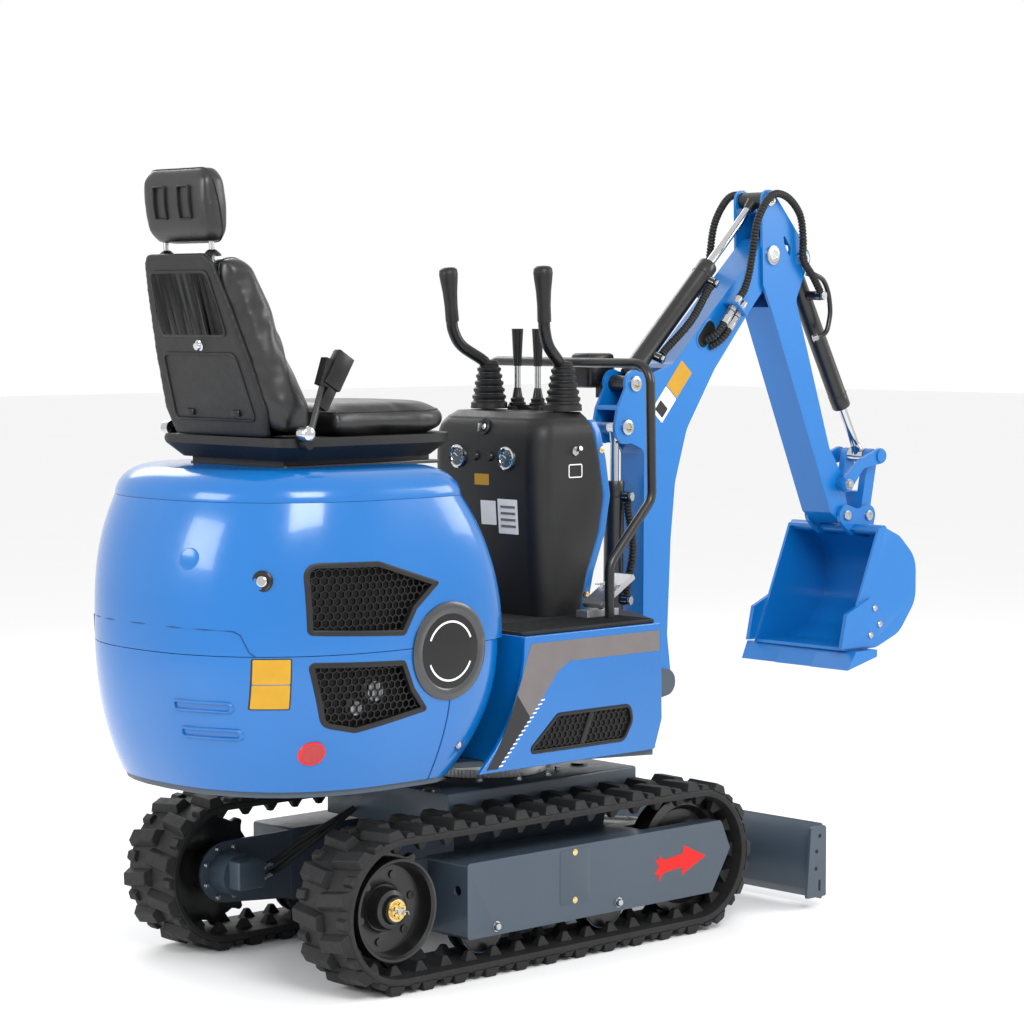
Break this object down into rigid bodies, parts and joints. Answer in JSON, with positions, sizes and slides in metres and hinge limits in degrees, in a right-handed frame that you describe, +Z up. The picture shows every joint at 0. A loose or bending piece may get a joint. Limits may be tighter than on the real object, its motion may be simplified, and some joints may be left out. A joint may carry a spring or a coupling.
{
  "type": "mini excavator",
  "caption": "Blue tracked mini excavator with an open operator's seat, twin joysticks, a front blade and a jointed digging arm with a bucket.",
  "frame": {"origin": "on the ground under the middle of the overall length and width", "axes": "+X towards the blade and bucket, +Y to the operator's left, +Z up"},
  "size_m": [2.557, 0.827, 1.88],
  "materials": {
    "blue_paint": "gloss",
    "slate_paint": "satin",
    "black_plastic": "fine grain",
    "black_paint": "satin",
    "rubber": "matt",
    "vinyl": "smooth vinyl",
    "black_steel": "satin",
    "steel": "machined and cast",
    "chrome": "polished"
  },
  "bodies": {
    "undercarriage": {"chassis": "slate_paint", "slew_ring": "steel", "track_left": "rubber", "track_right": "rubber", "sprocket_left": "black_paint", "sprocket_right": "black_paint", "idler_left": "black_paint", "idler_right": "black_paint", "track_frame_left": "slate_paint", "track_frame_right": "slate_paint", "travel_motor_left": "slate_paint", "travel_motor_right": "slate_paint"},
    "blade": {"dozer_blade": "slate_paint"},
    "blade_barrel": {"blade_cylinder_barrel": "black_paint"},
    "blade_rod": {"blade_cylinder_rod": "chrome"},
    "house": {"house_deck": "slate_paint", "platform": "blue_paint", "floor_mat": "rubber", "side_skirt_left": "blue_paint", "side_skirt_right": "blue_paint", "lower_cover": "blue_paint", "engine_bonnet": "blue_paint", "seat_deck": "blue_paint", "engine_block": "steel", "boom_bracket": "blue_paint", "console": "black_plastic", "console_panel": "blue_paint", "joystick_left": "black_plastic", "joystick_right": "black_plastic", "travel_levers": "black_plastic", "pedal": "steel", "handrail": "black_paint", "seat_pan": "black_steel", "seat_cushion": "vinyl", "seat_back_panel": "black_plastic", "seat_back": "vinyl", "headrest": "vinyl", "headrest_post_left": "chrome", "headrest_post_right": "chrome", "belt_buckle_left": "black_plastic", "belt_buckle_right": "black_plastic"},
    "boom": {"boom": "blue_paint", "work_lamp": "black_plastic", "boom_bulkhead": "blue_paint"},
    "boom_barrel": {"boom_cylinder_barrel": "black_paint", "boom_cylinder_hose": "rubber"},
    "boom_rod": {"boom_cylinder_rod": "chrome"},
    "arm_barrel": {"arm_cylinder_barrel": "black_paint", "arm_cylinder_hose": "rubber"},
    "arm_rod": {"arm_cylinder_rod": "chrome"},
    "arm": {"arm": "blue_paint", "bucket_hose_left": "rubber", "bucket_hose_right": "rubber"},
    "bucket_barrel": {"bucket_cylinder_barrel": "black_paint"},
    "bucket_rod": {"bucket_cylinder_rod": "chrome"},
    "rocker": {"rocker_left": "blue_paint", "rocker_right": "blue_paint"},
    "bucket": {"bucket": "blue_paint", "cutting_edge": "blue_paint"},
    "bucket_link": {"bucket_link": "blue_paint"}
  },
  "joints": [
    {"name": "slew", "type": "hinge", "parent": "undercarriage", "child": "house", "pos_m": [-0.2235, 0, 0.439], "axis": [0, 0, 1], "continuous": true},
    {"name": "blade_lift", "type": "hinge", "parent": "undercarriage", "child": "blade", "pos_m": [0.1165, 0, 0.16], "axis": [0, -1, 0], "range_deg": [-11.5, 20]},
    {"name": "blade_cylinder_swing", "type": "hinge", "parent": "undercarriage", "child": "blade_barrel", "pos_m": [0.0615, 0, 0.235], "axis": [0, -1, 0], "range_deg": [-10, 17.3]},
    {"name": "blade_rod_slide", "type": "slide", "parent": "blade_barrel", "child": "blade_rod", "axis": [0.987, 0, -0.1607], "range_m": [-0.025, 0.0146]},
    {"name": "boom_swing_up", "type": "hinge", "parent": "house", "child": "boom", "pos_m": [0.3815, 0, 0.576], "axis": [0, 1, 0], "range_deg": [-3, 50]},
    {"name": "boom_cylinder_swing", "type": "hinge", "parent": "house", "child": "boom_barrel", "pos_m": [0.2365, 0, 0.6], "axis": [0, 1, 0], "range_deg": [-3, 48.4]},
    {"name": "boom_rod_slide", "type": "slide", "parent": "boom_barrel", "child": "boom_rod", "axis": [0.0123, 0, 0.9999], "range_m": [-0.0079, 0.1242]},
    {"name": "arm_swing", "type": "hinge", "parent": "boom", "child": "arm", "pos_m": [0.7955, 0, 1.7], "axis": [0, 1, 0], "range_deg": [-80, 18], "deforming": ["bucket_hose_left", "bucket_hose_right"]},
    {"name": "arm_cylinder_swing", "type": "hinge", "parent": "boom", "child": "arm_barrel", "pos_m": [0.2745, 0, 1.362], "axis": [0, 1, 0], "range_deg": [-2.9, 0.7]},
    {"name": "arm_rod_slide", "type": "slide", "parent": "arm_barrel", "child": "arm_rod", "axis": [0.7205, 0, 0.6935], "range_m": [-0.1944, 0.0441]},
    {"name": "bucket_curl", "type": "hinge", "parent": "arm", "child": "bucket", "pos_m": [1.0985, 0, 0.982], "axis": [0, 1, 0], "range_deg": [-40, 95]},
    {"name": "bucket_cylinder_swing", "type": "hinge", "parent": "arm", "child": "bucket_barrel", "pos_m": [0.9185, 0, 1.693], "axis": [0, 1, 0], "range_deg": [-2, 4.6]},
    {"name": "bucket_rod_slide", "type": "slide", "parent": "bucket_barrel", "child": "bucket_rod", "axis": [0.4881, 0, -0.8728], "range_m": [-0.0662, 0.1565]},
    {"name": "rocker_swing", "type": "hinge", "parent": "arm", "child": "rocker", "pos_m": [1.0835, 0, 1.07], "axis": [0, 1, 0], "range_deg": [-26, 61.7]},
    {"name": "bucket_link_swing", "type": "hinge", "parent": "bucket", "child": "bucket_link", "pos_m": [1.1915, 0, 0.978], "axis": [0, 1, 0], "range_deg": [-56.2, 23.7]}
  ],
  "couplings": [
    {"joint": "blade_cylinder_swing", "follows": "blade_lift", "ratio": 0.8596},
    {"joint": "blade_rod_slide", "follows": "blade_lift", "m_per_rad": -0.0702},
    {"joint": "boom_cylinder_swing", "follows": "boom_swing_up", "ratio": 0.9663},
    {"joint": "boom_rod_slide", "follows": "boom_swing_up", "m_per_rad": 0.1418},
    {"joint": "arm_cylinder_swing", "follows": "arm_swing", "ratio": 0.0347},
    {"joint": "arm_rod_slide", "follows": "arm_swing", "m_per_rad": 0.1389},
    {"joint": "bucket_cylinder_swing", "follows": "bucket_curl", "ratio": 0.0475},
    {"joint": "bucket_rod_slide", "follows": "bucket_curl", "m_per_rad": 0.0941},
    {"joint": "rocker_swing", "follows": "bucket_curl", "ratio": 0.6483},
    {"joint": "bucket_link_swing", "follows": "bucket_curl", "ratio": -0.5901}
  ]
}
